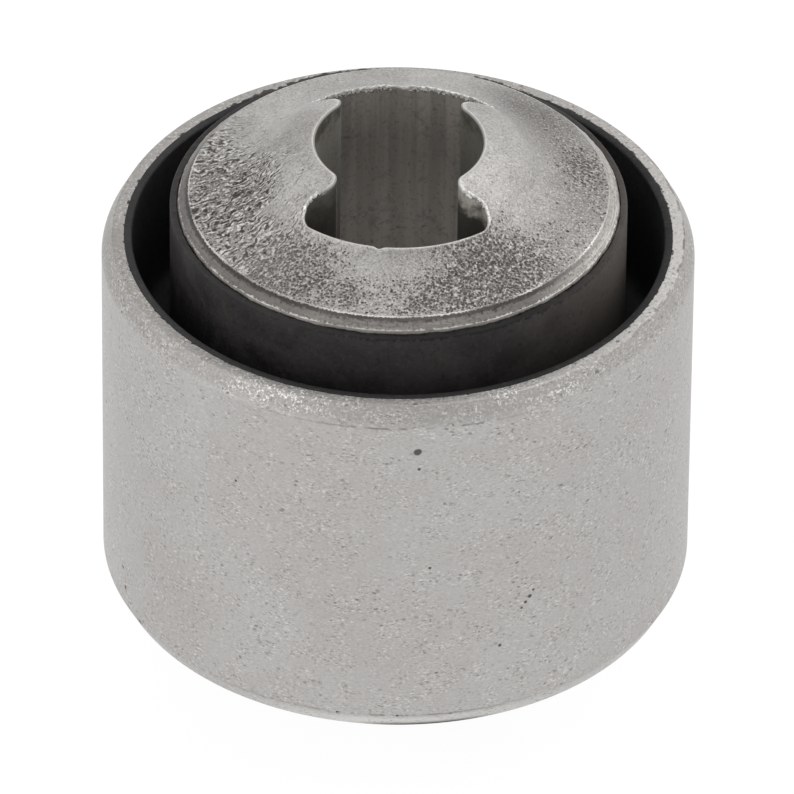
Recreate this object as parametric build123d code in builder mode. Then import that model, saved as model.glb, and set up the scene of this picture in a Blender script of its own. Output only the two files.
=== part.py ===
from build123d import *
import os
from math import cos, radians, sin, tan

# Rubber-metal bush, in millimetres: an extruded aluminium core with formed ends, held by a moulded
# rubber ring inside an aluminium sleeve. The bolt's axis is Z, the origin is the middle of the bush
# and the two hollow lobes of the core's hole lie along Y. Both ends of the bush are alike.

# Outer sleeve
sleeve_diameter = 60.0
sleeve_wall = 2.3
sleeve_length = 40.5
sleeve_chamfer_width = 1.1
sleeve_chamfer_length = 2.1

# Inner core: a rim, a chamfered ring and a dome that ends in a narrow flat seat round the bore
core_diameter = 44.8
core_length = 63.6
dome_height = 7.45
rim_chamfer = 1.2
foot_slope = 15.5
seat_slope = 19.0
seat_width = 0.5
# How far the dome's curve holds its slope at the foot and at the seat, as shares of the dome's width
foot_hold = 0.9
seat_hold = 0.59

# Hole through the core: a bore for the bolt and two lobes with rounded tips
bore_diameter = 17.0
lobe_reach = 5.25
lobe_edge_inset = 2.4
lobe_edge_slope = 14.0
lobe_tip_radius = 1.5
nose_radius = 1.4

# Rubber: a web between the metals, and a skin on each of them beside the end grooves. The groove's
# floor meets its walls in bevels that stand in for the moulded round
web_length = 10.5
sleeve_skin = 0.8
core_skin = 0.7
skin_setback = 0.15
lip_bevel = 0.4
floor_bevel_width = 1.2
floor_bevel_rise = 1.9

# Worked out from the sizes above
sleeve_radius = sleeve_diameter / 2
sleeve_bore_radius = sleeve_radius - sleeve_wall
sleeve_end = sleeve_length / 2
core_radius = core_diameter / 2
core_end = core_length / 2
rim_height = core_end - dome_height
bore_radius = bore_diameter / 2
lobe_radius = bore_radius + lobe_reach
seat_radius = bore_radius + seat_width


def sleeve_section():
    """Half of the sleeve's wall, cut along the axis, with its outer edges chamfered."""
    with BuildSketch(Plane.XZ) as section:
        with BuildLine():
            Polyline(
                (sleeve_bore_radius, 0),
                (sleeve_radius, 0),
                (sleeve_radius, sleeve_end - sleeve_chamfer_length),
                (sleeve_radius - sleeve_chamfer_width, sleeve_end),
                (sleeve_bore_radius, sleeve_end),
                close=True,
            )
        make_face()
        mirror(about=Plane.XZ)
    return section.sketch


def point_at(start, distance, angle):
    """The point at the given distance and angle in degrees from start."""
    return (start[0] + distance * cos(radians(angle)), start[1] + distance * sin(radians(angle)))


def core_section():
    """Half of the solid core, cut along the axis. The dome's outline is an ogee: a hollow flank that
    leaves the chamfered ring at foot_slope and a round shoulder that meets the seat at seat_slope."""
    foot = (core_radius - rim_chamfer, rim_height + rim_chamfer)
    seat_edge = (seat_radius, core_end)
    dome_width = foot[0] - seat_edge[0]
    foot_handle = point_at(foot, foot_hold * dome_width, 180 - foot_slope)
    seat_handle = point_at(seat_edge, seat_hold * dome_width, -seat_slope)
    with BuildSketch(Plane.XZ) as section:
        with BuildLine():
            Polyline((0, core_end), (0, 0), (core_radius, 0), (core_radius, rim_height), foot)
            Bezier(foot, foot_handle, seat_handle, seat_edge)
            Line(seat_edge, (0, core_end))
        make_face()
        mirror(about=Plane.XZ)
    return section.sketch


def rubber_section():
    """Half of the rubber, cut along the axis: the web, and two skins with a groove between them at
    each end."""
    inner = core_radius + core_skin
    outer = sleeve_bore_radius - sleeve_skin
    floor = web_length / 2
    skin_top = rim_height - skin_setback
    with BuildSketch(Plane.XZ) as section:
        with BuildLine():
            Polyline(
                (core_radius, 0),
                (core_radius, skin_top),
                (inner, skin_top),
                (inner, floor + floor_bevel_rise),
                (inner + floor_bevel_width, floor),
                (outer - floor_bevel_width, floor),
                (outer, floor + floor_bevel_rise),
                (outer, sleeve_end - lip_bevel),
                (outer + lip_bevel, sleeve_end),
                (sleeve_bore_radius, sleeve_end),
                (sleeve_bore_radius, 0),
                close=True,
            )
        make_face()
        mirror(about=Plane.XZ)
    return section.sketch


def hole_plan():
    """Outline of the core's hole: the bore, and on each side of it along Y a lobe that lies between
    two sloping inner edges and an arc about the bore's axis."""
    edge_start = bore_radius - lobe_edge_inset
    slope = tan(radians(lobe_edge_slope))
    # Where a sloping inner edge meets the outer arc: x * x + (edge_start + slope * x) ** 2 = radius ** 2
    square = 1 + slope**2
    half_linear = slope * edge_start
    tip_x = ((half_linear**2 + square * (lobe_radius**2 - edge_start**2)) ** 0.5 - half_linear) / square
    tip_y = edge_start + slope * tip_x
    with BuildSketch() as plan:
        Circle(bore_radius)
        for side in (1, -1):
            with BuildLine():
                Polyline((-tip_x, side * tip_y), (0, side * edge_start), (tip_x, side * tip_y))
                ThreePointArc((tip_x, side * tip_y), (0, side * lobe_radius), (-tip_x, side * tip_y))
            make_face()
        fillet(plan.vertices().group_by(SortBy.DISTANCE)[-1], lobe_tip_radius)
        corners = plan.vertices().filter_by(lambda v: abs(v.center().length - bore_radius) < 0.001)
        fillet(corners, nose_radius)
    return plan.sketch


with BuildPart() as outer_sleeve:
    add(sleeve_section())
    revolve(axis=Axis.Z)

with BuildPart() as rubber_body:
    add(rubber_section())
    revolve(axis=Axis.Z)

with BuildPart() as inner_core:
    add(core_section())
    revolve(axis=Axis.Z)
    add(hole_plan())
    extrude(amount=core_end, both=True, mode=Mode.SUBTRACT)

outer_sleeve.part.label = "outer_sleeve"
rubber_body.part.label = "rubber_body"
inner_core.part.label = "inner_core"

os.makedirs("parts", exist_ok=True)
export_step(outer_sleeve.part, "parts/outer_sleeve.step")
export_step(rubber_body.part, "parts/rubber_body.step")
export_step(inner_core.part, "parts/inner_core.step")
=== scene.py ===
from math import atan2, cos, radians, sin, tan

import bpy
import numpy as np
from mathutils import Matrix, Vector


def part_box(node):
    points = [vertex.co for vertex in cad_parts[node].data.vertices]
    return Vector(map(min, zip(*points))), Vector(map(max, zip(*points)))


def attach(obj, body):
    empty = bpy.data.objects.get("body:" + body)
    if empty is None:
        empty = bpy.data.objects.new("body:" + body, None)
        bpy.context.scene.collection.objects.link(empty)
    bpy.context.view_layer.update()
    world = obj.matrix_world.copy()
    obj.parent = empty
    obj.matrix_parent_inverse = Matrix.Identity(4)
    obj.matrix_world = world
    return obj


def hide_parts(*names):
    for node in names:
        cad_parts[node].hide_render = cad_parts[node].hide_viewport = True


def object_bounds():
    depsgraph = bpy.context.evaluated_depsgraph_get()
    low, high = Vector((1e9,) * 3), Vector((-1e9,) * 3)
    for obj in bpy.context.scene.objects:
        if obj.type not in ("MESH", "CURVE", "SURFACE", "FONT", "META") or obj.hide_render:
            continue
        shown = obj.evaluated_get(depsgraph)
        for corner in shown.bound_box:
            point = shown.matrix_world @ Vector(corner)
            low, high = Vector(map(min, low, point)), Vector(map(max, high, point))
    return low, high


# The looks of a rubber-metal bush: a blasted aluminium sleeve, the moulded rubber in it, and an
# extruded aluminium core with formed ends. Lengths are in metres and the bolt's axis is Z. The near
# side of the photograph is -Y.

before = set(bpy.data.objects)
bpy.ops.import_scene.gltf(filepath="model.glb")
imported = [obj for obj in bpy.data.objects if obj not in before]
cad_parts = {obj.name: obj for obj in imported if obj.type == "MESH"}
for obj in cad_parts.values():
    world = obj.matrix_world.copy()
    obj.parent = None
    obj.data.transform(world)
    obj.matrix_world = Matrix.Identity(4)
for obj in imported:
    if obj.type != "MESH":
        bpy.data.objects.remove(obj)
cad_low, cad_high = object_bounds()

mm = 0.001

# Taken from the solids
sleeve_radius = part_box("outer_sleeve")[1].x
sleeve_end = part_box("outer_sleeve")[1].z
sleeve_bore_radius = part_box("rubber_body")[1].x
rubber_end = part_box("rubber_body")[1].z
core_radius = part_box("inner_core")[1].x
core_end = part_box("inner_core")[1].z

# Sleeve
chamfer_width = 1.1 * mm
chamfer_length = 2.1 * mm
sleeve_edge_round = 0.2 * mm
sleeve_bore_round = 0.12 * mm

# Core's ends: rim, chamfered ring, ogee dome and flat seat
dome_height = 7.45 * mm
rim_height = core_end - dome_height
rim_chamfer = 1.2 * mm
rim_round = 0.2 * mm
rim_waver = 0.05 * mm
rim_chip = 0.16 * mm
foot_radius = core_radius - rim_chamfer
foot_slope = radians(15.5)
seat_slope = radians(19.0)
seat_width = 0.5 * mm
foot_hold = 0.9
seat_hold = 0.59
dome_middle_radius = 17.5 * mm

# Core's hole: the bore and two lobes, the painted highlight along its edge, and what wears it
bore_radius = 8.5 * mm
lobe_radius = bore_radius + 5.25 * mm
lobe_edge_start = bore_radius - 2.4 * mm
lobe_edge_slope = radians(14.0)
lobe_tip_radius = 1.5 * mm
nose_radius = 1.4 * mm
hole_edge_round = 0.16 * mm
edge_shine_reach = 0.21 * mm
burr_reach = 0.24 * mm
burr_height = 0.26 * mm
nick_reach = 0.5 * mm
nick_depth = 0.3 * mm

# Rubber
web_length = 10.5 * mm
sleeve_skin = 0.8 * mm
core_skin = 0.7 * mm
lip_round = 0.3 * mm
skin_round = 0.25 * mm
floor_round = 1.8 * mm
bond_edge_round = 0.05 * mm
flash_height = 0.12 * mm

# Columns of the meshes round the axis, points of each round in an outline, and rows of the core's
# faces. The rows down the hole's wall grow apart by a power of their number
ring_columns = 720
quarter_columns = 160
round_points = 6
side_rows = 5
ring_rows = 5
dome_rows = 40
edge_rows = 6
wall_rows = 13
wall_growth = 2.2
plan_passes = 1200


def soft_noise(points, size, seed, waves=28):
    """Smooth noise from about -1 to 1 at points, an array of places: the mean of cosine waves of
    wavelengths near size, which run in random directions with random starts, times the square root
    of half their number."""
    random = np.random.default_rng(seed)
    direction = random.normal(size=(waves, 3))
    direction /= np.linalg.norm(direction, axis=1, keepdims=True)
    wavelength = size * random.uniform(0.6, 1.6, waves)
    start = random.uniform(0, 2 * np.pi, waves)
    phase = points @ (direction / wavelength[:, None]).T * 2 * np.pi + start
    return np.cos(phase).mean(axis=-1) * np.sqrt(2 * waves) / 2


def bell(distance, width):
    """The bell curve exp(-(distance / width)^2)."""
    return np.exp(-((distance / width) ** 2))


def bell_round(angle, middle, width):
    """The bell curve of the turn from middle to angle, taken the short way round. All in degrees."""
    return bell((angle - middle + 180) % 360 - 180, width)


def round_axis(grid):
    """Each point's distance from the bolt's axis, and its angle round it from +X, in degrees from
    -180 to 180."""
    return np.hypot(grid[..., 0], grid[..., 1]), np.degrees(np.arctan2(grid[..., 1], grid[..., 0]))


def with_height(plan, height):
    """Points with their places in plan and their heights."""
    return np.concatenate([plan, height[..., None]], axis=-1)


def rounded_corner(before, corner, after):
    """The quadratic curve (1-t)^2 before + 2 t (1-t) corner + t^2 after."""
    t = np.linspace(0, 1, round_points)[:, None]
    return (1 - t) ** 2 * before + 2 * t * (1 - t) * corner + t**2 * after


def rounded_loop(corners, rounds, spacings):
    """A closed outline, anticlockwise in radius and height. Each corner is rounded, from its round
    away from it on the side before it to its round away on the side after it, and the straight side
    that follows is divided into lengths of about its spacing."""
    corners = np.array(corners)
    parts = []
    for i, corner in enumerate(corners):
        j = (i + 1) % len(corners)
        back, onward = corners[i - 1] - corner, corners[j] - corner
        back /= np.linalg.norm(back)
        onward /= np.linalg.norm(onward)
        start = corner + onward * rounds[i]
        end = corners[j] - onward * rounds[j]
        cuts = max(int(np.linalg.norm(end - start) / spacings[i]), 1)
        along = np.linspace(0, 1, cuts + 1)[1:-1, None]
        parts.append(rounded_corner(corner + back * rounds[i], corner, start))
        parts.append(start + (end - start) * along)
    return np.concatenate(parts)


def revolved(loop, columns):
    """The grid of a closed outline turned about Z: x = r cos a, y = r sin a, z = height."""
    angle = np.arange(columns)[:, None] * 2 * np.pi / columns
    radius, height = loop[:, 0], loop[:, 1]
    return np.stack([radius * np.cos(angle), radius * np.sin(angle), height + 0 * angle], axis=-1)


def grid_piece(name, grid, row_finish, materials, body, node, slot, **values):
    """A piece whose surface is a grid that closes on itself both ways. Row j takes the material of
    number row_finish[j], and each of values becomes a number on every point."""
    columns, rows = grid.shape[:2]
    i, j = np.meshgrid(np.arange(columns), np.arange(rows), indexing="ij")
    i_next, j_next = (i + 1) % columns, (j + 1) % rows
    corners = (i * rows + j, i_next * rows + j, i_next * rows + j_next, i * rows + j_next)
    faces = np.stack(corners, axis=-1).reshape(-1, 4)
    mesh = bpy.data.meshes.new(name)
    mesh.from_pydata(grid.reshape(-1, 3).tolist(), [], faces.tolist())
    mesh.shade_smooth()
    for material in materials:
        mesh.materials.append(material)
    mesh.polygons.foreach_set("material_index", np.tile(row_finish, columns))
    for label, value in values.items():
        stored = mesh.attributes.new(label, "FLOAT", "POINT")
        stored.data.foreach_set("value", value.astype(np.float32).ravel())
    mesh.update()
    piece = bpy.data.objects.new(name, mesh)
    bpy.context.scene.collection.objects.link(piece)
    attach(piece, body)
    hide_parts(node)
    return piece


def hole_quarter():
    """The hole's outline from the X axis to the Y axis, and for each point the angle on the rim that
    it is joined to. In turn: the bore's arc, the nose's arc, the lobe's straight edge, the tip's arc
    and the arc about the axis. A nose's or tip's centre is where the line beside the lobe's edge,
    its radius away, is at the right distance from the axis."""

    def centre(reach, rise):
        start, slope = lobe_edge_start + rise / cos(lobe_edge_slope), tan(lobe_edge_slope)
        square, half = 1 + slope**2, slope * start
        x = ((half**2 + square * (reach**2 - start**2)) ** 0.5 - half) / square
        return np.array([x, start + slope * x])

    def arc(middle, radius, first, last, count):
        angle = np.linspace(first, last, count, endpoint=False)
        return middle + radius * np.stack([np.cos(angle), np.sin(angle)], axis=-1)

    nose = centre(bore_radius + nose_radius, -nose_radius)
    tip = centre(lobe_radius - lobe_tip_radius, lobe_tip_radius)
    across = np.array([-sin(lobe_edge_slope), cos(lobe_edge_slope)])
    edge = (nose + nose_radius * across, tip - lobe_tip_radius * across)
    nose_angle, tip_angle = atan2(nose[1], nose[0]), atan2(tip[1], tip[0])
    flat_angle = np.pi / 2 + lobe_edge_slope
    rim_angles = np.radians([0, 15, 25, 29, 58, 90])
    shares = np.diff(rim_angles) / rim_angles[-1] * quarter_columns
    counts = np.diff(np.round(np.concatenate([[0], np.cumsum(shares)]))).astype(int)
    axis = np.zeros(2)
    outline = [
        arc(axis, bore_radius, 0, nose_angle, counts[0]),
        arc(nose, nose_radius, nose_angle + np.pi, flat_angle, counts[1]),
        edge[0] + (edge[1] - edge[0]) * np.linspace(0, 1, counts[2], endpoint=False)[:, None],
        arc(tip, lobe_tip_radius, flat_angle - np.pi, tip_angle, counts[3]),
        arc(axis, lobe_radius, tip_angle, np.pi / 2, counts[4]),
        np.array([[0, lobe_radius]]),
    ]
    rim = [np.linspace(a, b, n, endpoint=False) for a, b, n in zip(rim_angles, rim_angles[1:], counts)]
    return np.concatenate(outline), np.concatenate(rim + [rim_angles[-1:]])


def hole_outline():
    """The whole outline and its rim angles: the quarter, mirrored in X, turned half round, and
    mirrored in Y."""
    quarter, rim = hole_quarter()
    back = quarter[:0:-1]
    outline = [quarter[:-1], back * (-1, 1), -quarter[:-1], back * (1, -1)]
    angles = [rim[:-1], np.pi - rim[:0:-1], np.pi + rim[:-1], 2 * np.pi - rim[:0:-1]]
    return np.concatenate(outline), np.concatenate(angles)


def turned_rows():
    """Radius and height of the rows up the core's side, round its rim and up the ring."""
    corner = np.array([core_radius, rim_height])
    below = corner - (0, rim_round)
    above = corner + rim_round * np.array([-1, 1]) / 2**0.5
    foot = np.array([foot_radius, rim_height + rim_chamfer])
    heights = np.linspace(0, below[1], side_rows + 1)[:-1]
    side = np.stack([np.full(side_rows, core_radius), heights], axis=-1)
    ring = above + (foot - above) * np.linspace(0, 1, ring_rows + 1)[1:-1, None]
    return np.concatenate([side, rounded_corner(below, corner, above), ring])


def dome_profile():
    """Radius and height of the dome: the cubic curve from the ring's edge to the seat's edge, whose
    handles lie along the foot's and the seat's slopes."""
    foot = np.array([foot_radius, rim_height + rim_chamfer])
    seat = np.array([bore_radius + seat_width, core_end])
    width = foot[0] - seat[0]
    foot_handle = foot + foot_hold * width * np.array([-cos(foot_slope), sin(foot_slope)])
    seat_handle = seat + seat_hold * width * np.array([cos(seat_slope), -sin(seat_slope)])
    t = np.linspace(1, 0, 400)[:, None]
    curve = (1 - t) ** 3 * foot + 3 * (1 - t) ** 2 * t * foot_handle
    curve += 3 * (1 - t) * t**2 * seat_handle + t**3 * seat
    return curve[:, 0], curve[:, 1]


def dome_plan(rim, inner):
    """Plan of the dome's grid, from the foot's circle to the hole's edge. It starts as straight
    lines, and then each inner point is moved to the mean of its four neighbours many times."""
    t = np.linspace(0, 1, dome_rows + 1)[None, :, None]
    plan = (1 - t) * rim[:, None] + t * inner[:, None]
    for _ in range(plan_passes):
        beside = np.roll(plan, 1, axis=0) + np.roll(plan, -1, axis=0)
        plan[:, 1:-1] = (beside[:, 1:-1] + plan[:, :-2] + plan[:, 2:]) / 4
    return plan


def hole_rows(outline, into_metal, crest):
    """The rows round the hole's edge and down its wall, where crest is the dome's height beside each
    point of the outline. The edge is the quarter circle inset = e (1 - sin a), drop = e (1 - cos a),
    and the share s of the wall's rows has fallen by the share s^g of its height, g being
    wall_growth."""
    a = np.linspace(0, np.pi / 2, edge_rows + 1)[1:]
    inset = hole_edge_round * (1 - np.sin(a))
    edge_plan = outline[:, None] + into_metal[:, None] * inset[:, None]
    edge_height = crest - hole_edge_round * (1 - np.cos(a))
    left = 1 - np.linspace(0, 1, wall_rows + 1)[1:] ** wall_growth
    wall_plan = np.repeat(outline[:, None], wall_rows, axis=1)
    wall_height = edge_height[:, -1:] * left
    plan = np.concatenate([edge_plan, wall_plan], axis=1)
    return with_height(plan, np.concatenate([edge_height, wall_height], axis=1))


def core_grid():
    """The core's surface. One column runs up the side, over the rim and the ring, up the dome to the
    hole's edge, and round that edge down the hole's wall. The lower half is the upper half's mirror
    image. Returned with it: the finish of each row, and how far each point is from the hole's edge,
    with 1 for the side and the ring."""
    outline, rim_angle = hole_outline()
    along = np.roll(outline, -1, axis=0) - np.roll(outline, 1, axis=0)
    along /= np.linalg.norm(along, axis=1, keepdims=True)
    into_metal = np.stack([along[:, 1], -along[:, 0]], axis=-1)
    spoke = np.stack([np.cos(rim_angle), np.sin(rim_angle)], axis=-1)

    turned = turned_rows()
    turned_height = np.tile(turned[:, 1], (len(spoke), 1))
    plan = dome_plan(spoke * foot_radius, outline + hole_edge_round * into_metal)
    height = np.interp(np.linalg.norm(plan, axis=-1), *dome_profile())
    crest = height[:, -1:]
    hole = hole_rows(outline, into_metal, crest)
    turned_grid = with_height(spoke[:, None] * turned[:, :1], turned_height)
    upper = np.concatenate([turned_grid, with_height(plan, height), hole], axis=1)

    from_edge = np.linalg.norm(plan - plan[:, -1:], axis=-1) + hole_edge_round
    parts = [np.ones_like(turned_height), from_edge, crest - hole[..., 2]]
    distance = np.concatenate(parts, axis=1)
    counts = (side_rows + round_points - 1, ring_rows, dome_rows, edge_rows + wall_rows)
    finish = np.repeat([0, 1, 2, 3], counts)
    return (
        np.concatenate([upper, upper[:, -2:0:-1] * (1, 1, -1)], axis=1),
        np.concatenate([finish, finish[::-1]]),
        np.concatenate([distance, distance[:, -2:0:-1]], axis=1),
    )


def tone(red, green, blue):
    """A colour picked as display values from 0 to 255, as the linear values that a shader takes."""
    share = np.array([red, green, blue]) / 255
    linear = np.where(share <= 0.04045, share / 12.92, ((share + 0.055) / 1.055) ** 2.4)
    return (*linear.tolist(), 1.0)


def add(tree, kind, options=(), **inputs):
    """Adds a node of a kind, sets its options, and sets or links its inputs by name, with _ for a
    space. An input named i0, i1 and so on is taken by its number."""
    node = tree.nodes.new(kind)
    for option, value in dict(options).items():
        setattr(node, option, value)
    for label, value in inputs.items():
        numbered = label[0] == "i" and label[1:].isdigit()
        socket = node.inputs[int(label[1:]) if numbered else label.replace("_", " ")]
        if isinstance(value, bpy.types.NodeSocket):
            tree.links.new(value, socket)
        else:
            socket.default_value = value
    return node


def calc(tree, operation, *values):
    """The output of a Math node on values or sockets."""
    numbered = {f"i{k}": value for k, value in enumerate(values)}
    return add(tree, "ShaderNodeMath", {"operation": operation}, **numbered).outputs[0]


def times(tree, first, second):
    """The product of two values or sockets."""
    return calc(tree, "MULTIPLY", first, second)


def mix(tree, factor, first, second):
    """The colour between first and second."""
    node = add(tree, "ShaderNodeMix", {"data_type": "RGBA"}, i0=factor, i6=first, i7=second)
    return node.outputs[2]


def mix_number(tree, factor, first, second):
    """The number between first and second."""
    node = add(tree, "ShaderNodeMix", {"data_type": "FLOAT"}, i0=factor, i2=first, i3=second)
    return node.outputs[0]


def spread(tree, value, low, high, to_low=0.0, to_high=1.0):
    """Value taken from the range low..high to the range to_low..to_high, smoothly and held there."""
    options = {"interpolation_type": "SMOOTHSTEP"}
    node = add(tree, "ShaderNodeMapRange", options, i0=value, i1=low, i2=high, i3=to_low, i4=to_high)
    return node.outputs[0]


def noise(tree, vector, scale, detail=3.0, roughness=0.55, distortion=0.0):
    """The value of a noise pattern, about 0.5 in its middle."""
    look = {"Detail": detail, "Roughness": roughness, "Distortion": distortion}
    return add(tree, "ShaderNodeTexNoise", Vector=vector, Scale=scale, **look).outputs[0]


def centred_noise(tree, vector, scale, detail=3.0, roughness=0.55):
    """A noise pattern about 0 in its middle, which tears an edge that it is added to."""
    return calc(tree, "SUBTRACT", noise(tree, vector, scale, detail, roughness), 0.5)


def stretched(tree, vector, scale):
    """Vector with each axis multiplied by its own number."""
    return add(tree, "ShaderNodeVectorMath", {"operation": "MULTIPLY"}, i0=vector, i1=scale).outputs[0]


def part_along(tree, vector, axis):
    """Vector's part along X, Y or Z."""
    return add(tree, "ShaderNodeSeparateXYZ", Vector=vector).outputs[axis]


def start_group(name, inputs, outputs):
    """A node group with named sockets. Returns it, its inputs as sockets to read, and its outputs as
    sockets to feed."""
    tree = bpy.data.node_groups.new(name, "ShaderNodeTree")
    for label, default in inputs.items():
        kind = "NodeSocketVector" if default is None else "NodeSocketFloat"
        socket = tree.interface.new_socket(label, in_out="INPUT", socket_type=kind)
        if default is not None:
            socket.default_value = default
    for label in outputs:
        tree.interface.new_socket(label, in_out="OUTPUT", socket_type="NodeSocketFloat")
    entry = tree.nodes.new("NodeGroupInput")
    leave = tree.nodes.new("NodeGroupOutput")
    return tree, entry.outputs, leave.inputs


def metal_grain():
    """Group: the grain of blasted, tumbled or forged metal. Height is the relief, Light the share of
    bright facets on its tops, and Dark the share of pits in its hollows."""
    inputs = {"Place": None, "Grain": 3000.0, "Depth": 2.0, "Cover": 0.5}
    tree, given, out = start_group("metal_grain", inputs, ("Height", "Light", "Dark"))
    relief = noise(tree, given["Place"], given["Grain"], given["Depth"], 0.6, 0.5)
    margin = times(tree, calc(tree, "SUBTRACT", 1.0, given["Cover"]), 0.14)
    high, low = calc(tree, "ADD", 0.5, margin), calc(tree, "SUBTRACT", 0.5, margin)
    tree.links.new(relief, out["Height"])
    tree.links.new(spread(tree, relief, high, calc(tree, "ADD", high, 0.12)), out["Light"])
    tree.links.new(spread(tree, relief, low, calc(tree, "SUBTRACT", low, 0.12)), out["Dark"])
    return tree


def mottle():
    """Group: broad uneven tone, as handled and stored metal and rubber have."""
    tree, given, out = start_group("mottle", {"Place": None, "Patch": 110.0}, ("Tone", "Stain"))
    broad = noise(tree, given["Place"], given["Patch"], 5.0, 0.6, 0.6)
    tree.links.new(spread(tree, broad, 0.3, 0.7), out["Tone"])
    stain = noise(tree, given["Place"], times(tree, given["Patch"], 2.3), 6.0, 0.7, 1.2)
    tree.links.new(spread(tree, stain, 0.52, 0.66), out["Stain"])
    return tree


def fine_lines():
    """Group: fine lines that run along one direction. Place is squeezed along them beforehand."""
    tree, given, out = start_group("fine_lines", {"Place": None, "Density": 3000.0}, ("Height", "Line"))
    lines = noise(tree, given["Place"], given["Density"], 3.0, 0.7)
    tree.links.new(spread(tree, lines, 0.38, 0.62), out["Height"])
    tree.links.new(spread(tree, lines, 0.56, 0.66), out["Line"])
    return tree


def round_mark():
    """Group: one pit or chip. Mask is 1 within Size of Centre and fades out at its ragged edge."""
    inputs = {"Place": None, "Centre": None, "Size": 0.0004}
    tree, given, out = start_group("round_mark", inputs, ("Mask",))
    options = {"operation": "DISTANCE"}
    away = add(tree, "ShaderNodeVectorMath", options, i0=given["Place"], i1=given["Centre"])
    ragged = calc(tree, "MULTIPLY_ADD", noise(tree, given["Place"], 2600.0), 0.9, 0.55)
    share = calc(tree, "DIVIDE", away.outputs["Value"], times(tree, given["Size"], ragged))
    tree.links.new(spread(tree, share, 1.15, 0.75), out["Mask"])
    return tree


def polar():
    """Group: distance from the bolt's axis, and the angle round it from the near side, in radians."""
    tree, given, out = start_group("polar", {"Place": None}, ("Radius", "Angle"))
    x, y = part_along(tree, given["Place"], "X"), part_along(tree, given["Place"], "Y")
    squares = calc(tree, "MULTIPLY_ADD", y, y, times(tree, x, x))
    tree.links.new(calc(tree, "SQRT", squares), out["Radius"])
    tree.links.new(calc(tree, "ARCTAN2", x, times(tree, y, -1.0)), out["Angle"])
    return tree


def pitting():
    """Group: small round pits, one to a cell. Reach is a pit's radius as a share of its cell."""
    tree, given, out = start_group("pitting", {"Place": None, "Count": 3300.0, "Reach": 0.4}, ("Mask",))
    cell = add(tree, "ShaderNodeTexVoronoi", Vector=given["Place"], Scale=given["Count"])
    torn = centred_noise(tree, given["Place"], times(tree, given["Count"], 1.8), 1.0)
    ragged = calc(tree, "MULTIPLY_ADD", torn, 0.7, cell.outputs["Distance"])
    inner = calc(tree, "SUBTRACT", given["Reach"], 0.14)
    tree.links.new(spread(tree, ragged, given["Reach"], inner), out["Mask"])
    return tree


groups = {
    "grain": metal_grain(),
    "mottle": mottle(),
    "lines": fine_lines(),
    "mark": round_mark(),
    "polar": polar(),
    "pitting": pitting(),
}


def place_group(tree, name, place, **inputs):
    """The outputs of a shared group, put in a material with its own place and values."""
    return add(tree, "ShaderNodeGroup", {"node_tree": groups[name]}, Place=place, **inputs).outputs


def pit_mask(tree, place, count, reach):
    """The mask of small pits."""
    return place_group(tree, "pitting", place, Count=count, Reach=reach)["Mask"]


def start_material(name, **constants):
    """A material with one Principled shader. Returns it, its tree, the shader's inputs and the Object
    coordinates."""
    material = bpy.data.materials.new(name)
    material.use_nodes = True
    tree = material.node_tree
    shader = tree.nodes["Principled BSDF"]
    for label, value in constants.items():
        shader.inputs[label.replace("_", " ")].default_value = value
    place = tree.nodes.new("ShaderNodeTexCoord").outputs["Object"]
    return material, tree, shader.inputs, place


def set_bump(tree, shader, height, distance):
    """Feeds height, times distance in metres, to the shader's normal."""
    bump = add(tree, "ShaderNodeBump", Height=height, Distance=distance, Strength=1.0)
    tree.links.new(bump.outputs[0], shader["Normal"])


def attribute(tree, name):
    """A number that the mesh carries on its points."""
    return add(tree, "ShaderNodeAttribute", {"attribute_name": name}).outputs["Fac"]


def relief_tone(tree, base, grain, light, dark, light_tone, dark_tone):
    """Base with its hollows and tops picked out: dark and light are how strongly."""
    hollow = mix(tree, times(tree, grain["Dark"], dark), base, dark_tone)
    return mix(tree, times(tree, grain["Light"], light), hollow, light_tone)


# Single pits of the sleeve: angle round the axis in degrees, height, radius
sleeve_pits = (
    (-84.6, 15.3 * mm, 0.42 * mm),
    (-84.3, 13.1 * mm, 0.16 * mm),
    (-82.0, 0.6 * mm, 0.15 * mm),
    (-61.0, -4.5 * mm, 0.14 * mm),
    (-61.8, -5.2 * mm, 0.22 * mm),
    (-62.7, -5.8 * mm, 0.19 * mm),
    (-63.5, -6.4 * mm, 0.13 * mm),
    (-68.0, -10.5 * mm, 0.18 * mm),
    (-121.0, 8.0 * mm, 0.15 * mm),
    (-88.0, -18.2 * mm, 0.17 * mm),
    (-99.7, -18.2 * mm, 0.17 * mm),
    (-148.5, -18.2 * mm, 0.3 * mm),
    (-156.2, -13.8 * mm, 0.2 * mm),
    (-155.0, -16.0 * mm, 0.24 * mm),
    (48.0, 6.0 * mm, 0.3 * mm),
    (137.0, -8.0 * mm, 0.35 * mm),
)


def single_pits(tree, place):
    """The mask of the sleeve's single pits."""
    mask = 0.0
    for angle, height, size in sleeve_pits:
        turn = radians(angle)
        centre = (sleeve_radius * cos(turn), sleeve_radius * sin(turn), height)
        mark = place_group(tree, "mark", place, Centre=centre, Size=size)["Mask"]
        mask = calc(tree, "MAXIMUM", mask, mark)
    return mask


def scored_line(tree, place, radius, cluster):
    """The mask of the broken dark line along the foot of the chamfers, and where the upper chamfer
    meets the end face."""
    wobble = calc(tree, "MULTIPLY_ADD", calc(tree, "SUBTRACT", cluster, 0.7), 0.2 * mm, radius)
    off = calc(tree, "SUBTRACT", wobble, sleeve_radius - chamfer_width - 0.04 * mm)
    near = spread(tree, calc(tree, "ABSOLUTE", off), 0.16 * mm, 0.08 * mm)
    shoulder = times(tree, near, attribute(tree, "shoulder"))
    line = calc(tree, "MAXIMUM", attribute(tree, "crease"), shoulder)
    return times(tree, line, spread(tree, noise(tree, place, 800.0), 0.4, 0.56))


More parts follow.
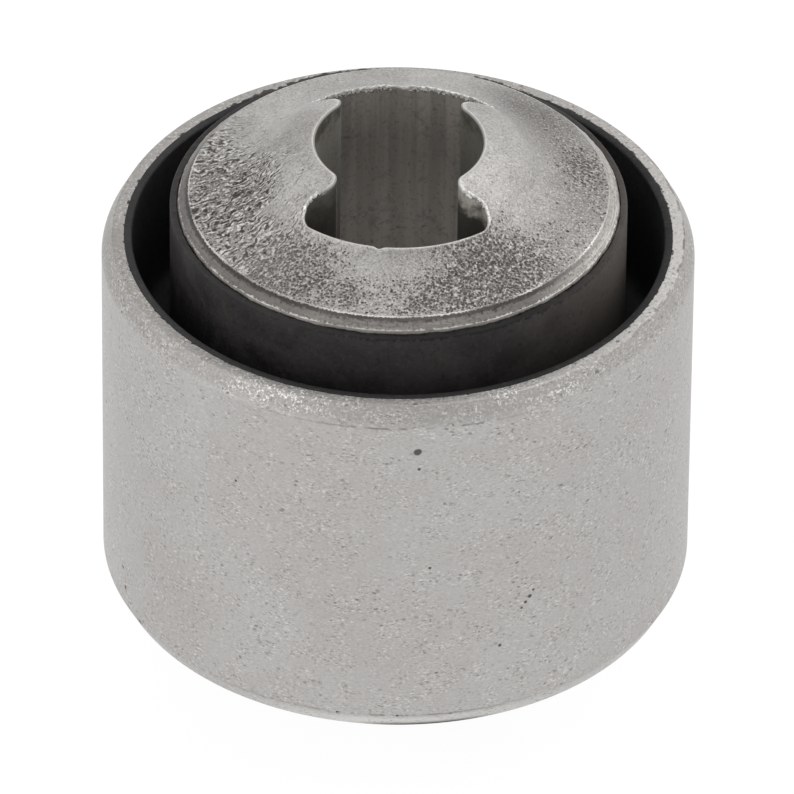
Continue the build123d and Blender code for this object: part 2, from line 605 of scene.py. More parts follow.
def sleeve_finish():
    """Blasted aluminium: warm light grey with a fine bright and dark grain, small dents, single pits,
    painted glints on the chamfer, a broken dark line beside it, painted highlights on the lower
    chamfer and on the right of the upper end face, painted shade on the left of the end faces, and
    painted shadows at two edges: beside the core's far rim and under the lower chamfer."""
    material, tree, shader, place = start_material("sleeve_blasted_aluminium", Metallic=1.0)
    tones = place_group(tree, "mottle", place, Patch=75.0)
    fine = place_group(tree, "grain", stretched(tree, place, (0.6, 0.6, 1.2)), Grain=4400.0, Cover=0.6)
    coarse = place_group(tree, "grain", place, Grain=1500.0, Depth=4.0, Cover=0.2)
    knocks = place_group(tree, "grain", place, Grain=3800.0, Depth=2.0, Cover=0.8)
    dents = pit_mask(tree, stretched(tree, place, (0.7, 0.7, 1.0)), 1150.0, 0.15)
    radius = place_group(tree, "polar", place)["Radius"]
    cluster = spread(tree, noise(tree, place, 420.0), 0.38, 0.62, 0.35, 1.0)

    plain = mix(tree, tones["Tone"], tone(178, 175, 173), tone(188, 186, 184))
    bevelled = mix(tree, times(tree, attribute(tree, "chamfer"), 0.75), plain, tone(160, 157, 154))
    # Painted shade: the end faces darker on the left and lighter towards the right, where the light falls,
    # and none on the far side
    faced = mix(tree, attribute(tree, "end_face"), bevelled, tone(158, 155, 151))
    # Painted highlight: a bright band on the lower chamfer, most at the near side, and on the right of the
    # upper end face
    edged = mix(tree, attribute(tree, "bright_edge"), faced, tone(224, 222, 219))
    light = times(tree, cluster, 0.6)
    grained = relief_tone(tree, edged, fine, light, light, tone(228, 225, 221), tone(112, 108, 104))
    # Painted glints: bright flecks on the chamfer's grain, strongest on the near left and near right
    facets = times(tree, attribute(tree, "knocked"), times(tree, knocks["Light"], cluster))
    knocked = mix(tree, times(tree, facets, 0.85), grained, tone(244, 243, 241))
    dented = mix(tree, times(tree, dents, light), knocked, tone(92, 88, 85))
    broad = relief_tone(tree, dented, coarse, 0.2, 0.35, tone(214, 211, 207), tone(128, 124, 120))

    # A broken dark line along the chamfers' foot at the near side and along the upper shoulder on the
    # right
    line = scored_line(tree, place, radius, cluster)
    scored = mix(tree, times(tree, line, 0.7), broad, tone(92, 88, 86))
    # Painted shadow: a dark band on the upper end face along its inner edge on the far side, where the gap
    # beside the core's rim is in shadow
    beyond = calc(tree, "SUBTRACT", radius, attribute(tree, "smear_radius"))
    torn = calc(tree, "MULTIPLY_ADD", centred_noise(tree, place, 1300.0), 1.4 * mm, beyond)
    smear = spread(tree, torn, 0.05 * mm, -0.05 * mm, 0.0, 0.85)
    # Painted shadow along the sleeve's bottom edge at the near side, where it faces the floor
    smear = calc(tree, "MAXIMUM", smear, attribute(tree, "lower_smear"))
    smeared = mix(tree, smear, scored, tone(34, 32, 31))
    pits = single_pits(tree, place)
    pitted = mix(tree, times(tree, pits, 0.85), smeared, tone(66, 62, 60))
    tree.links.new(pitted, shader["Base Color"])
    tree.links.new(spread(tree, tones["Tone"], 0.0, 1.0, 0.44, 0.54), shader["Roughness"])
    height = calc(tree, "MULTIPLY_ADD", coarse["Height"], 0.8, fine["Height"])
    sunk = calc(tree, "MULTIPLY_ADD", dents, 0.8, times(tree, pits, 2.0))
    set_bump(tree, shader, calc(tree, "SUBTRACT", height, sunk), 0.06 * mm)
    return material


def core_side_finish():
    """The core's turned side, which the rubber hides apart from a narrow band."""
    material, tree, shader, place = start_material("core_side_aluminium", Metallic=1.0)
    grain = place_group(tree, "grain", place, Grain=2400.0)
    plain = mix(tree, grain["Height"], tone(96, 92, 89), tone(150, 146, 142))
    tree.links.new(plain, shader["Base Color"])
    tree.links.new(spread(tree, grain["Height"], 0.3, 0.8, 0.42, 0.55), shader["Roughness"])
    set_bump(tree, shader, grain["Height"], 0.05 * mm)
    return material


def turned_place(tree, place, outward, around):
    """The distance from the axis and the angle round it, and a place whose axes run outward, round
    the axis and up, with the first two multiplied by outward and around."""
    turned = place_group(tree, "polar", place)
    across = times(tree, turned["Radius"], outward)
    arc = times(tree, turned["Angle"], dome_middle_radius * around)
    height = part_along(tree, place, "Z")
    vector = add(tree, "ShaderNodeCombineXYZ", X=across, Y=arc, Z=height).outputs[0]
    return turned["Radius"], turned["Angle"], vector


def worn_crease(tree, place, radius, base):
    """Base with a painted highlight, a bright line, over it where the dome meets the ring."""
    beyond = calc(tree, "SUBTRACT", radius, foot_radius)
    off = calc(tree, "MULTIPLY_ADD", centred_noise(tree, place, 4200.0, 2.0), 0.35 * mm, beyond)
    line = spread(tree, calc(tree, "ABSOLUTE", off), 0.1 * mm, 0.03 * mm)
    shine = spread(tree, noise(tree, place, 75.0, 2.0), 0.4, 0.58, 0.1, 0.95)
    return mix(tree, times(tree, line, shine), base, tone(228, 226, 222))


def ring_finish():
    """The chamfered ring: formed metal with fine lines round it, painted shade where the dome shades it
    and in the crease beside the dome, a painted highlight along that crease, and a torn outer edge
    with a painted highlight along it."""
    material, tree, shader, place = start_material("core_ring_aluminium", Metallic=1.0)
    radius, _, drawn = turned_place(tree, place, 1.0, 0.09)
    lines = place_group(tree, "lines", drawn, Density=4600.0)
    grain = place_group(tree, "grain", place, Grain=3000.0, Cover=0.6)
    uneven = calc(tree, "SUBTRACT", grain["Height"], 0.5)
    wobble = calc(tree, "MULTIPLY_ADD", uneven, 0.6 * mm, radius)
    dull = mix(tree, lines["Height"], tone(164, 160, 156), tone(202, 198, 194))
    grained = relief_tone(tree, dull, grain, 0.3, 0.45, tone(206, 203, 199), tone(70, 66, 63))
    # Painted shade: the ring darker on the left and near side, where the dome shades it from the light on
    # the right
    grime = attribute(tree, "grime")
    smeared = mix(tree, times(tree, grime, 0.82), grained, tone(84, 80, 77))
    # Painted shade in the crease at the ring's inner edge beside the dome, deeper where the ring is shaded
    inner = spread(tree, wobble, core_radius - 0.95 * mm, core_radius - 0.65 * mm, 1.0, 0.0)
    packed = times(tree, inner, calc(tree, "MULTIPLY_ADD", grime, 0.65, 0.15))
    cornered = mix(tree, packed, smeared, tone(54, 50, 48))
    # Painted highlight: a bright line along the ring's outer edge
    outer = spread(tree, wobble, core_radius - 0.3 * mm, core_radius - 0.16 * mm, 0.0, 0.75)
    bright = mix(tree, outer, cornered, tone(214, 211, 206))
    # Painted highlight along the crease where the dome meets the ring
    creased = worn_crease(tree, place, radius, bright)
    torn = spread(tree, noise(tree, place, 3200.0, 2.0), 0.5, 0.56)
    rim = times(tree, torn, spread(tree, radius, core_radius - 0.16 * mm, core_radius - 0.08 * mm))
    tree.links.new(mix(tree, rim, creased, tone(48, 45, 43)), shader["Base Color"])
    tree.links.new(spread(tree, lines["Height"], 0.0, 1.0, 0.38, 0.5), shader["Roughness"])
    height = calc(tree, "MULTIPLY_ADD", lines["Height"], 0.5, grain["Height"])
    set_bump(tree, shader, height, 0.05 * mm)
    return material


def broken_burr(tree, place, base, below):
    """Base with the hole's burr over it: torn metal along the edge, beaded by small pits, whose bright
    tone is partly a painted highlight for its glints, and a painted shadow under it, below as strong."""
    burr = attribute(tree, "burr")
    torn = centred_noise(tree, place, 3400.0, 2.0)
    away = calc(tree, "MULTIPLY_ADD", torn, 1.3 * mm, attribute(tree, "hole_depth"))
    under = spread(tree, away, 0.58 * mm, 0.46 * mm, 0.0, below)
    edge = spread(tree, away, 0.44 * mm, 0.3 * mm)
    beads = spread(tree, pit_mask(tree, place, 2300.0, 0.64), 0.0, 1.0, 0.55, 1.0)
    # Painted shadow under the burr
    gaps = mix(tree, times(tree, burr, under), base, tone(58, 54, 50))
    # The burr's bright tone: torn metal, partly a painted highlight standing in for its glints
    return mix(tree, times(tree, burr, times(tree, edge, beads)), gaps, tone(252, 251, 248))


def wrinkles(tree, place, angle, drawn, share):
    """The masks of the hollows and of the crests of wrinkles that run outward, as strong as share: a
    sine wave round the axis, bent and broken by noise."""
    bend = times(tree, noise(tree, drawn, 800.0, 2.0), 28.0)
    waves = calc(tree, "SINE", calc(tree, "MULTIPLY_ADD", angle, 140.0, bend))
    broken = times(tree, share, spread(tree, noise(tree, place, 1700.0, 1.0), 0.42, 0.54))
    hollows = times(tree, spread(tree, waves, 0.0, -0.75), broken)
    crests = times(tree, spread(tree, waves, 0.35, 0.9), broken)
    return hollows, crests


def dome_finish():
    """The formed dome: smooth grained bands between rough patches, which are pitted on the right and
    on the near side and wrinkled outward from the axis on the left. Over it lie patches of painted
    shade, painted highlights on the wrinkles' crests, along the hole's edge and along the crease at
    the ring, and the burr's painted highlight and shadow."""
    material, tree, shader, place = start_material("core_formed_aluminium", Metallic=1.0)
    radius, angle, drawn = turned_place(tree, place, 0.6, 1.0)
    tones = place_group(tree, "mottle", place, Patch=170.0)
    peel = place_group(tree, "grain", place, Grain=3500.0, Depth=1.2, Cover=0.8)
    fine = place_group(tree, "grain", place, Grain=4400.0, Cover=0.65)
    cloud = centred_noise(tree, place, 480.0, 4.0, 0.65)
    ragged = calc(tree, "MULTIPLY_ADD", cloud, 1.1, attribute(tree, "patch"))
    rough = spread(tree, ragged, 0.0, 0.85)

    wrinkled = spread(tree, angle, -0.35, -1.1)
    folded = times(tree, wrinkled, spread(tree, ragged, -0.05, 0.5))
    folds, crests = wrinkles(tree, place, angle, drawn, folded)
    small = pit_mask(tree, place, 3100.0, calc(tree, "MULTIPLY_ADD", rough, 0.48, 0.08))
    small = times(tree, small, calc(tree, "MULTIPLY_ADD", wrinkled, -0.3, 0.78))
    large = pit_mask(tree, place, 1150.0, times(tree, spread(tree, ragged, 0.0, 0.4), 0.2))
    hollow = calc(tree, "MAXIMUM", calc(tree, "MAXIMUM", small, large), folds)

    smooth_tone = mix(tree, tones["Tone"], tone(166, 163, 160), tone(190, 188, 185))
    # Painted shade: broad darker patches of the dome, where it reflects less light
    dulled = mix(tree, attribute(tree, "dull"), smooth_tone, tone(112, 109, 106))
    plain = mix(tree, times(tree, rough, 0.7), dulled, tone(136, 132, 128))
    light = times(tree, rough, 0.55)
    peeled = relief_tone(tree, plain, peel, light, 0.25, tone(226, 224, 220), tone(96, 92, 89))
    share = calc(tree, "MULTIPLY_ADD", rough, 0.1, 0.45)
    grained = relief_tone(tree, peeled, fine, share, share, tone(218, 216, 212), tone(96, 92, 89))
    # Painted highlight on the wrinkles' crests
    crested = mix(tree, times(tree, crests, 0.9), grained, tone(226, 223, 219))
    hollowed = mix(tree, times(tree, hollow, 0.9), crested, tone(52, 49, 47))
    # Painted highlight along the hole's edge
    bright = mix(tree, attribute(tree, "hole_edge"), hollowed, tone(236, 234, 230))
    # Painted highlight along the crease where the dome meets the ring
    creased = worn_crease(tree, place, radius, bright)
    tree.links.new(broken_burr(tree, place, creased, 0.1), shader["Base Color"])
    tree.links.new(spread(tree, rough, 0.0, 1.0, 0.42, 0.5), shader["Roughness"])
    peaks = times(tree, peel["Height"], spread(tree, rough, 0.0, 1.0, 0.4, 1.0))
    raised = calc(tree, "MULTIPLY_ADD", hollow, -0.6, peaks)
    raised = calc(tree, "MULTIPLY_ADD", crests, 0.3, raised)
    set_bump(tree, shader, calc(tree, "MULTIPLY_ADD", fine["Height"], 0.25, raised), 0.11 * mm)
    return material


def hole_finish():
    """The extruded hole's wall: brownish metal with streaks along the axis, darker at the ends and
    lighter deeper down, where light is painted in, and darker in the lobes' corners and beside the
    mouth of the bore."""
    material, tree, shader, place = start_material("core_hole_aluminium", Metallic=0.25)
    lines = place_group(tree, "lines", stretched(tree, place, (1.0, 1.0, 0.03)), Density=620.0)
    tones = place_group(tree, "mottle", place, Patch=260.0)
    grain = place_group(tree, "grain", place, Grain=2600.0)
    radius = place_group(tree, "polar", place)["Radius"]
    depth, corner = attribute(tree, "hole_depth"), attribute(tree, "hole_corner")
    # Painted light: the wall lighter deeper down, to make up for the light falling off with depth
    deep_tone = mix(tree, lines["Height"], tone(234, 228, 221), tone(252, 247, 240))
    end_tone = mix(tree, lines["Height"], tone(152, 147, 141), tone(172, 167, 160))
    plain = mix(tree, spread(tree, depth, 5 * mm, 20 * mm), end_tone, deep_tone)

    # Darker into the lobes' corners, with depth and a ragged edge, and beside the bore's mouth; the lobes'
    # mouths darker on the left
    uneven = calc(tree, "SUBTRACT", tones["Tone"], 0.5)
    sooty = calc(tree, "MULTIPLY_ADD", uneven, 1.6 * mm, depth)
    torn = centred_noise(tree, place, 1300.0, 4.0, 0.65)
    sooty = calc(tree, "MULTIPLY_ADD", torn, 4.5 * mm, sooty)
    side = spread(tree, part_along(tree, place, "X"), -8 * mm, 8 * mm)
    lobe_mouth = mix(tree, side, tone(84, 81, 76), tone(180, 176, 169))
    lobe_tone = mix(tree, spread(tree, sooty, 0.4 * mm, 2.8 * mm), lobe_mouth, tone(62, 59, 55))
    bore_deep = mix(tree, side, tone(136, 133, 126), tone(116, 113, 106))
    bore_tone = mix(tree, spread(tree, sooty, 0.0, 2.2 * mm), tone(84, 81, 74), bore_deep)
    bore = spread(tree, radius, bore_radius + 0.9 * mm, bore_radius + 0.4 * mm)
    corner_tone = mix(tree, bore, lobe_tone, bore_tone)

    streaked = mix(tree, times(tree, lines["Line"], 0.22), plain, tone(120, 115, 109))
    cornered = mix(tree, corner, streaked, corner_tone)
    spots = pit_mask(tree, stretched(tree, place, (1.0, 1.0, 0.5)), 1500.0, 0.17)
    spotted = mix(tree, times(tree, spots, 0.3), cornered, tone(70, 66, 60))
    stained = mix(tree, times(tree, tones["Stain"], 0.3), spotted, tone(92, 89, 80))
    light = spread(tree, corner, 0.0, 1.0, 0.15, 0.02)
    grained = relief_tone(tree, stained, grain, light, 0.3, tone(200, 196, 190), tone(64, 60, 56))
    # Painted highlight along the hole's edge
    edge = times(tree, attribute(tree, "hole_edge"), 0.6)
    bright = mix(tree, edge, grained, tone(190, 187, 182))
    tree.links.new(broken_burr(tree, place, bright, 0.6), shader["Base Color"])
    tree.links.new(spread(tree, lines["Height"], 0.0, 1.0, 0.5, 0.62), shader["Roughness"])
    height = calc(tree, "MULTIPLY_ADD", grain["Height"], 0.6, lines["Height"])
    set_bump(tree, shader, height, 0.02 * mm)
    return material


def rubber_finish():
    """Moulded black rubber, dusty dark grey on the core's side, with painted light on its right, clean
    black on the sleeve's with painted shade on the lip but on the left, and crumbled where the flash
    was torn off beside the rim."""
    material, tree, shader, place = start_material("moulded_black_rubber", Specular_IOR_Level=0.3)
    grain = place_group(tree, "grain", place, Grain=2100.0, Depth=3.0, Cover=0.6)
    tones = place_group(tree, "mottle", place, Patch=160.0)
    dusty = mix(tree, tones["Tone"], tone(38, 36, 36), tone(58, 55, 54))
    # Painted light: the core's side of the rubber lighter on the right, where the light falls
    dustier = mix(tree, attribute(tree, "dust"), dusty, tone(92, 86, 81))
    clean = mix(tree, attribute(tree, "clean"), dustier, tone(49, 48, 48))
    # Painted shade: the lip darker all round but on the left, where the light from the right falls on it
    lip = mix(tree, attribute(tree, "lip"), clean, tone(24, 23, 23))
    grained = relief_tone(tree, lip, grain, 0.16, 0.4, tone(96, 92, 89), tone(18, 17, 17))
    rise = calc(tree, "ABSOLUTE", part_along(tree, place, "Z"))
    beyond = calc(tree, "SUBTRACT", rise, rubber_end - 0.24 * mm)
    edge = calc(tree, "MULTIPLY_ADD", centred_noise(tree, place, 2600.0), 1.3 * mm, beyond)
    torn = times(tree, spread(tree, edge, -0.1 * mm, 0.06 * mm), attribute(tree, "torn"))
    tree.links.new(mix(tree, torn, grained, tone(20, 18, 17)), shader["Base Color"])
    tree.links.new(spread(tree, tones["Tone"], 0.0, 1.0, 0.6, 0.74), shader["Roughness"])
    set_bump(tree, shader, grain["Height"], 0.04 * mm)
    return material


def make_sleeve():
    """The sleeve: its wall's outline turned about Z, with the outer edges chamfered. Its points carry
    how much they lie on the upper chamfer, the painted shade on the end faces, the painted glints on
    the chamfer and the painted highlights, the dark lines, how far out the painted shadow of the gap
    on the upper end face reaches, and the painted shadow below the lower chamfer's foot."""
    top, low = sleeve_end, sleeve_end - chamfer_length
    outer, inner, shoulder = sleeve_radius, sleeve_bore_radius, sleeve_radius - chamfer_width
    corners = ((outer, -low), (outer, low), (shoulder, top), (inner, top), (inner, -top), (shoulder, -top))
    edge, bore = sleeve_edge_round, sleeve_bore_round
    rounds = (edge, edge, edge, bore, bore, edge)
    spacings = (0.9 * mm, 0.5 * mm, 0.4 * mm, 9 * mm, 0.4 * mm, 0.5 * mm)
    grid = revolved(rounded_loop(corners, rounds, spacings), ring_columns)
    finish = np.zeros(grid.shape[1], int)

    height = np.abs(grid[..., 2])
    upper = grid[..., 2] > 0
    angle = round_axis(grid)[1]
    bevel = np.clip((height - low) / (0.5 * mm), 0, 1)
    flat = np.clip((height - top) / (0.1 * mm) + 1, 0, 1)
    # Strength of the painted glints on the upper chamfer, round the axis
    knocks = bell(angle + 112, 16) + bell(angle + 62, 17) + 0.4 * bell(angle + 150, 18) + 0.15
    # Painted shade on the end faces: full on the left, less to the near side and right, none on the far
    # side
    dull_face = flat * (0.25 + 0.75 * bell(angle + 180, 90)) * (1 - bell(angle - 92, 42))
    # Painted highlight on the lower chamfer, most at the near side
    lower_edge = np.clip((height - low) / (0.5 * mm) - 0.8, 0, 1) * ~upper
    lower_edge *= 0.15 + 0.75 * bell(angle + 88, 24)
    # How far out the painted shadow of the gap on the upper end face reaches, on the far side
    smear_slack = 0.3 * mm
    smear_width = (bell(angle - 102, 16) + 0.65 * bell(angle - 73, 5)) * mm
    # Painted shade along the bottom edge of the sleeve at the near side, which faces the floor
    lower_smear = np.clip((height - top) / (0.15 * mm) + 5.2, 0, 1) * ~upper
    return grid_piece(
        "sleeve", grid, finish, [sleeve_finish()], "root", "outer_sleeve", "sleeve_aluminium",
        chamfer=bevel * upper,
        knocked=np.clip(knocks, 0, 1) * bevel * upper,
        end_face=dull_face,
        bright_edge=lower_edge + 0.5 * flat * upper * bell(angle + 10, 52),
        crease=bell(height - low, 0.1 * mm) * bell(angle + 88, 22),
        shoulder=bell(angle + 4, 40) * upper,
        smear_radius=inner - smear_slack + (smear_width + smear_slack) * upper * flat,
        lower_smear=0.97 * lower_smear * np.exp(-(((angle + 82) / 12) ** 4)),
    )


def make_rubber():
    """The rubber: web, two skins and the grooves between them, turned about Z. The edge beside the
    core's rim is ragged where the flash was trimmed. Its points carry how clean the sleeve's side
    is, the painted shade on the lip, the painted light on the core's side at the right, and where it
    is torn beside the rim."""
    inner, outer = core_radius + core_skin, sleeve_bore_radius - sleeve_skin
    floor, lip, skin = web_length / 2, sleeve_end, rubber_end
    upper = (
        (sleeve_bore_radius, lip),
        (outer, lip),
        (outer, floor),
        (inner, floor),
        (inner, skin),
        (core_radius, skin),
    )
    lower = tuple((r, -z) for r, z in reversed(upper))
    rounds = (bond_edge_round, lip_round, floor_round, floor_round, skin_round, bond_edge_round)
    spacings = (0.3 * mm, 1.2 * mm, 0.5 * mm, 1.2 * mm, 0.3 * mm, 9 * mm)
    loop = rounded_loop(upper + lower, rounds + rounds[::-1], spacings + spacings)
    grid = revolved(loop, ring_columns)
    finish = np.zeros(grid.shape[1], int)

    radius, angle = round_axis(grid)
    height = np.abs(grid[..., 2])
    trimmed = bell(radius - core_radius, 0.5 * mm) * (height > skin - skin_round * 1.5)
    ragged = 0.7 * soft_noise(grid, 1.1 * mm, 3) + 0.7 * soft_noise(grid, 4.0 * mm, 4)
    grid[..., 2] += np.sign(grid[..., 2]) * trimmed * flash_height * ragged
    lip_edge = bell(outer + 0.4 * mm - radius, 0.5 * mm) * (height > lip - 0.7 * mm)
    return grid_piece(
        "rubber", grid, finish, [rubber_finish()], "root", "rubber_body", "moulded_rubber",
        clean=np.clip((radius - inner) / (1.5 * mm), 0, 1),
        # Painted shade on the lip, all round but on the left
        lip=lip_edge * (1 - bell_round(angle, 180, 60)),
        # Painted light on the rubber's right side
        dust=0.8 * bell_round(angle, -8, 34),
        torn=bell_round(angle, -68, 52) * (radius < inner + 0.05 * mm),
    )


# Rough patches of the dome: angle round the axis, distance from it, half width round it in degrees,
# half width across in metres, and strength
rough_patches = (
    (-56, 17.5 * mm, 20, 5.0 * mm, 1.1),
    (-84, 19.5 * mm, 20, 2.8 * mm, 0.6),
    (-124, 18.3 * mm, 20, 4.6 * mm, 0.95),
    (-150, 20.6 * mm, 15, 1.4 * mm, 0.25),
    (-171, 17.3 * mm, 18, 4.3 * mm, 1.1),
    (165, 20.0 * mm, 15, 2.6 * mm, 0.55),
    (12, 19.3 * mm, 14, 3.4 * mm, 0.75),
    (-18, 19.5 * mm, 20, 3.5 * mm, 0.3),
    (40, 18.5 * mm, 16, 3.0 * mm, 0.35),
)

# Patches of painted shade on the dome, given in the same way
dull_patches = (
    (4, 19.0 * mm, 48, 6.0 * mm, 0.55),
    (46, 18.5 * mm, 18, 3.2 * mm, 0.8),
    (-56, 17.0 * mm, 17, 4.4 * mm, 1.0),
    (-167, 17.0 * mm, 10, 3.0 * mm, 0.7),
)

# Stretches of the ring in painted shade, where the dome shades it from the light on the right:
# angle round the axis, half width round it in degrees, and strength
grimy_stretches = ((-176, 36, 0.85), (-126, 24, 0.9), (-90, 20, 0.55), (-54, 22, 0.95), (118, 30, 0.4))

# Burrs that stand on the hole's edge: place across and along the lobes, and reach. The first ones
# run round the far lobe, and far_burrs are their places across it in millimetres
far_burrs = (-8.6, -6.6, -4.6, -2.6, 1.6, 3.2, 5.2, 7.2, 8.9)
edge_burrs = (
    *((x * mm, (lobe_radius**2 - (x * mm) ** 2) ** 0.5, 1.5 * mm) for x in far_burrs),
    (-8.6 * mm, -8.6 * mm, 1.0 * mm),
    (7.4 * mm, -8.1 * mm, 1.1 * mm),
    (8.9 * mm, -8.6 * mm, 0.9 * mm),
)

# Nicks in the hole's edge, given in the same way
edge_nicks = ((-1.6 * mm, -13.65 * mm, 0.4 * mm), (0.1 * mm, lobe_radius, 0.45 * mm))


def patch_share(grid, patches):
    """How much each point lies in the patches, from 0 to 1: the sum of bell curves round their
    places."""
    radius, angle = round_axis(grid)
    share = np.zeros(grid.shape[:2])
    for middle, distance, wide, deep, strength in patches:
        share += strength * bell_round(angle, middle, wide) * bell(radius - distance, deep)
    return np.clip(share, 0, 1)


def ring_grime(grid):
    """The ring's painted shade at each point, by its angle round the axis: the sum of bell curves."""
    angle = round_axis(grid)[1]
    share = np.zeros(grid.shape[:2])
    for middle, wide, strength in grimy_stretches:
        share += strength * bell_round(angle, middle, wide)
    return np.clip(share, 0, 0.95)


def near_places(grid, places):
    """How near each point is to one of the places: the highest of the bell curves round them."""
    share = np.zeros(grid.shape[:2])
    for across, along, reach in places:
        away = np.hypot(grid[..., 0] - across, grid[..., 1] - along)
        share = np.maximum(share, bell(away, reach))
    return share


def make_core():
    """The core: ring, dome and hole's wall at both ends. Broken burrs are raised on the hole's edge
    and nicks are sunk in it, and the rim wavers and is chipped a little. Its points carry the dome's
    rough patches and its patches of painted shade, the ring's painted shade, the painted highlight
    and the burrs of the hole's edge, the depth below that edge, and how much they lie in the bore or
    in a lobe's corner."""
    grid, row_finish, distance = core_grid()
    radius = round_axis(grid)[0]
    nick = near_places(grid, edge_nicks) * bell(distance, nick_reach)
    burr_place = np.clip(near_places(grid, edge_burrs) * 1.8, 0, 1) * (1 - nick)
    broken = np.clip(0.7 + 0.7 * soft_noise(grid, 0.4 * mm, 5), 0, 1.6)
    burr = burr_place * bell(distance, burr_reach) * broken * burr_height
    slow, quick = soft_noise(grid, 3.5 * mm, 8), soft_noise(grid, 0.9 * mm, 9)
    chips = np.clip(soft_noise(grid, 1.1 * mm, 12) - 0.7, 0, 1)
    waver = rim_waver * (slow + 0.6 * quick - 1) - rim_chip * chips
    rim = bell(core_radius - radius, 0.4 * mm) * (np.abs(grid[..., 2]) > rubber_end - 0.2 * mm)
    # The attribute dull holds the dome's patches of painted shade
    patch, dull = patch_share(grid, rough_patches), patch_share(grid, dull_patches)
    # Painted shade on the ring, by the angle round the axis
    grime = ring_grime(grid)
    outward, upward = grid * (1, 1, 0) / radius[..., None], np.sign(grid[..., 2])
    grid += outward * (waver * rim - burr * 0.4)[..., None]
    grid[..., 2] += upward * (burr - nick * nick_depth)
    finishes = [core_side_finish(), ring_finish(), dome_finish(), hole_finish()]
    return grid_piece(
        "core", grid, row_finish, finishes, "root", "inner_core", "core_aluminium",
        patch=patch,
        dull=dull,
        grime=grime,
        hole_edge=bell(distance, edge_shine_reach),
        hole_depth=distance,
        hole_corner=np.clip((lobe_radius - 0.05 * mm - radius) / (0.4 * mm), 0, 1),
        burr=burr_place,
    )


def seen_directly(tree):
    """1 for rays from the camera and for those that mirrors and glass send on, and 0 for the rest."""
    seen = add(tree, "ShaderNodeLightPath").outputs
    straight = calc(tree, "MAXIMUM", seen["Is Camera Ray"], seen["Is Glossy Ray"])
    return calc(tree, "MAXIMUM", straight, seen["Is Transmission Ray"])


def make_floor():
    """A pale floor under the lower seat. From below it is clear, so that the underside is seen."""
    half = 3.0
    mesh = bpy.data.meshes.new("floor")
    corners = [(-half, -half), (half, -half), (half, half), (-half, half)]
    mesh.from_pydata([(x, y, cad_low.z) for x, y in corners], [], [(0, 1, 2, 3)])
    material = bpy.data.materials.new("pale_floor")
    material.use_nodes = True
    tree = material.node_tree
    tree.nodes.clear()
    matt = add(tree, "ShaderNodeBsdfDiffuse", Color=(0.8, 0.8, 0.8, 1.0)).outputs[0]
    glow = add(tree, "ShaderNodeEmission", Color=(1.0, 1.0, 1.0, 1.0), Strength=1.08).outputs[0]
    share = times(tree, seen_directly(tree), 0.88)
    mixed = add(tree, "ShaderNodeMixShader", i0=share, i1=matt, i2=glow).outputs[0]
    clear = add(tree, "ShaderNodeBsdfTransparent").outputs[0]
    under = add(tree, "ShaderNodeNewGeometry").outputs["Backfacing"]
    whole = add(tree, "ShaderNodeMixShader", i0=under, i1=mixed, i2=clear).outputs[0]
    out = tree.nodes.new("ShaderNodeOutputMaterial")
    tree.links.new(whole, out.inputs["Surface"])
    mesh.materials.append(material)
    floor = bpy.data.objects.new("floor", mesh)
    bpy.context.scene.collection.objects.link(floor)


# Dark panels that the metal reflects: direction, the cosines from it where a panel starts and is
# full, and its level
dark_panels = (
    ((-0.6, 0.8, 0.0), 0.88, 1.0, 0.55),
    ((0.0, -0.6, 0.8), 0.8, 1.0, 0.5),
)


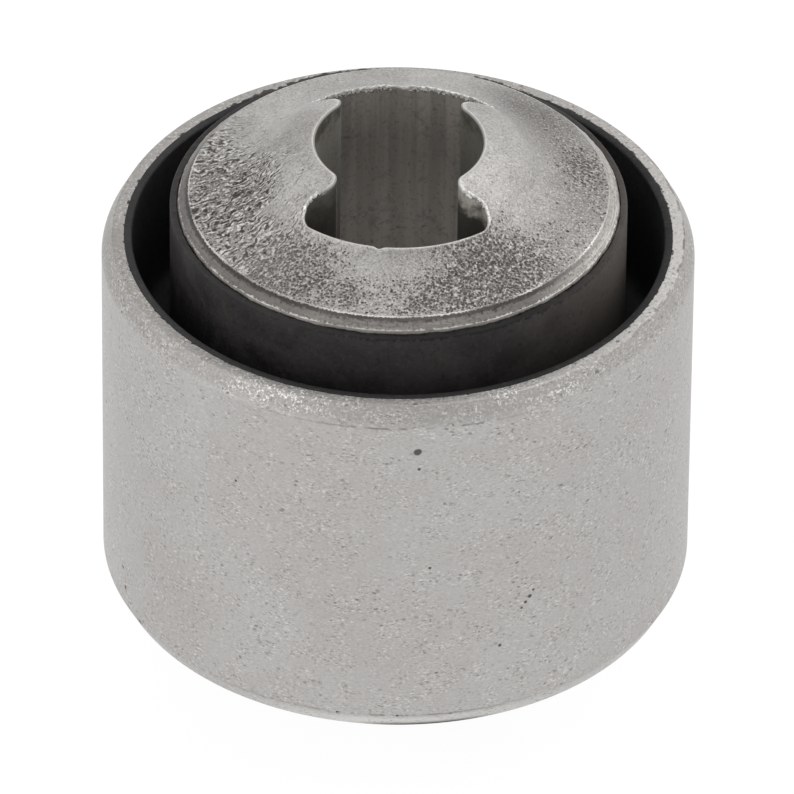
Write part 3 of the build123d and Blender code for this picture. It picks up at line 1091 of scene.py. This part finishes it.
def make_world(fill):
    """Even light from all round at the level fill. Seen directly it is plain white, and in the metal
    it is white with darker panels: one behind on the left, and one above."""
    world = bpy.data.worlds.new("studio")
    bpy.context.scene.world = world
    world.use_nodes = True
    tree = world.node_tree
    tree.nodes.clear()
    toward = tree.nodes.new("ShaderNodeTexCoord").outputs["Generated"]
    level = 1.0
    for direction, start, full, shade in dark_panels:
        options = {"operation": "DOT_PRODUCT"}
        cosine = add(tree, "ShaderNodeVectorMath", options, i0=toward, i1=direction).outputs["Value"]
        level = times(tree, level, spread(tree, cosine, start, full, 1.0, shade))
    camera_ray = add(tree, "ShaderNodeLightPath").outputs["Is Camera Ray"]
    reflected = mix_number(tree, camera_ray, level, 1.0)
    strength = mix_number(tree, seen_directly(tree), fill, reflected)
    back = add(tree, "ShaderNodeBackground", Color=(1.0, 1.0, 1.0, 1.0), Strength=strength).outputs[0]
    out = tree.nodes.new("ShaderNodeOutputWorld")
    tree.links.new(back, out.inputs["Surface"])


def make_lamp(name, place, size, power):
    """A square soft lamp that faces the object's middle."""
    data = bpy.data.lights.new(name, "AREA")
    data.size, data.energy = size, power
    lamp = bpy.data.objects.new(name, data)
    lamp.location = place
    lamp.rotation_mode = "QUATERNION"
    lamp.rotation_quaternion = (-Vector(place)).to_track_quat("-Z", "Y")
    bpy.context.scene.collection.objects.link(lamp)


def make_camera():
    """The photograph's camera. It looks down by rise, a little rolled, from turn round the axis, and
    sees the middle of the sleeve's upper end aim_right and aim_up of the picture's middle. Its
    distance and its focal length are both reach, in pixels of the photograph."""
    photo_width, reach = 794, 13480
    pixel = 0.10106 * mm
    rise, roll, turn = radians(37.05), radians(-0.56), radians(1.3)
    aim_right, aim_up = 1.33 * pixel, 163.58 * pixel
    back = Vector((0, -cos(rise), sin(rise)))
    level, upright = Vector((1, 0, 0)), Vector((0, sin(rise), cos(rise)))
    right = cos(roll) * level - sin(roll) * upright
    up = sin(roll) * level + cos(roll) * upright
    place = Vector((0, 0, sleeve_end)) - aim_right * right - aim_up * up + reach * pixel * back
    axes = Matrix((right, up, back)).transposed()
    data = bpy.data.cameras.new("camera")
    data.sensor_width = 36
    data.lens = reach / photo_width * data.sensor_width
    data.clip_start, data.clip_end = 0.05, 20
    camera = bpy.data.objects.new("camera", data)
    camera.matrix_world = Matrix.Rotation(turn, 4, "Z") @ Matrix.Translation(place) @ axes.to_4x4()
    bpy.context.scene.collection.objects.link(camera)
    bpy.context.scene.camera = camera


make_camera()
make_sleeve()
make_rubber()
make_core()
make_floor()
make_world(0.75)
make_lamp("key_lamp", (1.3, 0.5, 1.4), 2.4, 10)
make_lamp("fill_lamp", (-1.4, -1.0, 1.0), 2.0, 6)
bpy.context.scene.view_settings.view_transform = "Standard"
